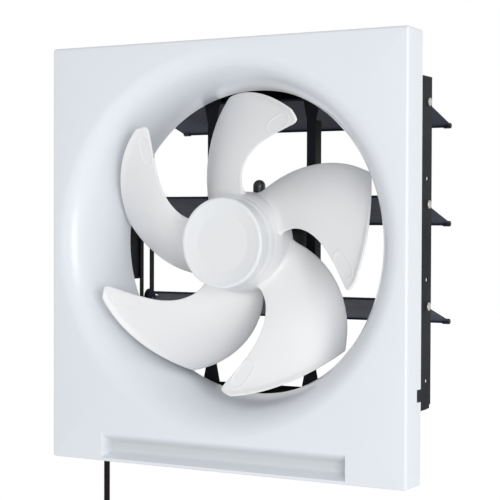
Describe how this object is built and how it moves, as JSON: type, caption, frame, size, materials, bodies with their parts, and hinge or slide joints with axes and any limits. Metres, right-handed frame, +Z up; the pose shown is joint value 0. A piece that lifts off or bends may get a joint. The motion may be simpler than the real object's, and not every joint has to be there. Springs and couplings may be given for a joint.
{
  "type": "wall exhaust fan",
  "caption": "Wall exhaust fan: white panel with bell mouth, swept-blade propeller on a motor, dark sheet frame with linked shutter louvres, hanging power cord.",
  "frame": {"origin": "on the fan axis, in the wall plane that the flange and the panel's rim touch", "axes": "+X right seen from the room, +Y with the air through the wall, +Z up"},
  "size_m": [0.398, 0.2059, 0.6099],
  "materials": {
    "panel_plastic": "satin",
    "fan_plastic": "satin",
    "spinner_plastic": "satin",
    "frame_paint": "satin",
    "louvre_paint": "satin",
    "motor_paint": "satin",
    "zinc_steel": "satin",
    "rotor_aluminium": "satin",
    "winding_copper": "gloss",
    "buffer_rubber": "matte",
    "cord_rubber": "satin",
    "box_plastic": "matte",
    "block_plastic": "matte",
    "pin_brass": "gloss"
  },
  "bodies": {
    "frame": {"motor_front_shell": "motor_paint", "motor_rear_shell": "motor_paint", "stator_core": "zinc_steel", "stator_winding": "winding_copper", "front_bearing": "zinc_steel", "rear_bearing": "zinc_steel", "motor_bushes": "buffer_rubber", "motor_screws": "zinc_steel", "lead_bush": "buffer_rubber", "motor_stay_left": "frame_paint", "motor_stay_right": "frame_paint", "stay_screws": "zinc_steel", "frame_top": "frame_paint", "frame_floor": "frame_paint", "frame_left_side": "frame_paint", "frame_right_side": "frame_paint", "wall_flange": "frame_paint", "panel_clips": "zinc_steel", "pivot_pins_left": "zinc_steel", "pivot_pins_right": "zinc_steel", "terminal_box": "box_plastic", "terminal_box_cover": "box_plastic", "terminal_block": "block_plastic", "run_capacitor": "box_plastic", "cord_gland": "buffer_rubber", "power_cord_drop": "cord_rubber", "power_cord_coil": "cord_rubber", "cord_tie": "cord_rubber", "plug_body": "cord_rubber", "plug_pins": "pin_brass"},
    "panel": {"front_panel": "panel_plastic", "bell_mouth": "panel_plastic"},
    "fan": {"propeller_hub": "fan_plastic", "propeller_blades": "fan_plastic", "spinner_nut": "spinner_plastic", "motor_shaft": "zinc_steel", "drive_pin": "zinc_steel", "rotor_core": "rotor_aluminium"},
    "louvre_top": {"louvre_top": "louvre_paint", "louvre_top_buffers": "buffer_rubber"},
    "louvre_middle": {"louvre_middle": "louvre_paint", "louvre_middle_buffers": "buffer_rubber"},
    "louvre_bottom": {"louvre_bottom": "louvre_paint", "louvre_bottom_buffers": "buffer_rubber"},
    "link": {"shutter_link": "louvre_paint", "link_rivets": "zinc_steel"}
  },
  "joints": [
    {"name": "fan_spin", "type": "hinge", "parent": "frame", "child": "fan", "pos_m": [0, 0, 0], "axis": [0, 1, 0], "continuous": true},
    {"name": "panel_pull", "type": "slide", "parent": "frame", "child": "panel", "axis": [0, -1, 0], "range_m": [0, 0.05]},
    {"name": "louvre_middle_hinge", "type": "hinge", "parent": "frame", "child": "louvre_middle", "pos_m": [0, 0.0991, 0.039], "axis": [1, 0, 0], "range_deg": [-70, 0]},
    {"name": "louvre_top_hinge", "type": "hinge", "parent": "frame", "child": "louvre_top", "pos_m": [0, 0.0991, 0.1415], "axis": [1, 0, 0], "range_deg": [-70, 0]},
    {"name": "louvre_bottom_hinge", "type": "hinge", "parent": "frame", "child": "louvre_bottom", "pos_m": [0, 0.0991, -0.0635], "axis": [1, 0, 0], "range_deg": [-70, 0]},
    {"name": "link_pivot", "type": "hinge", "parent": "louvre_middle", "child": "link", "pos_m": [-0.1635, 0.08119, 0.02622], "axis": [1, 0, 0], "range_deg": [0, 70]}
  ],
  "couplings": [
    {"joint": "louvre_top_hinge", "follows": "louvre_middle_hinge", "ratio": 1},
    {"joint": "louvre_bottom_hinge", "follows": "louvre_middle_hinge", "ratio": 1},
    {"joint": "link_pivot", "follows": "louvre_middle_hinge", "ratio": -1}
  ]
}
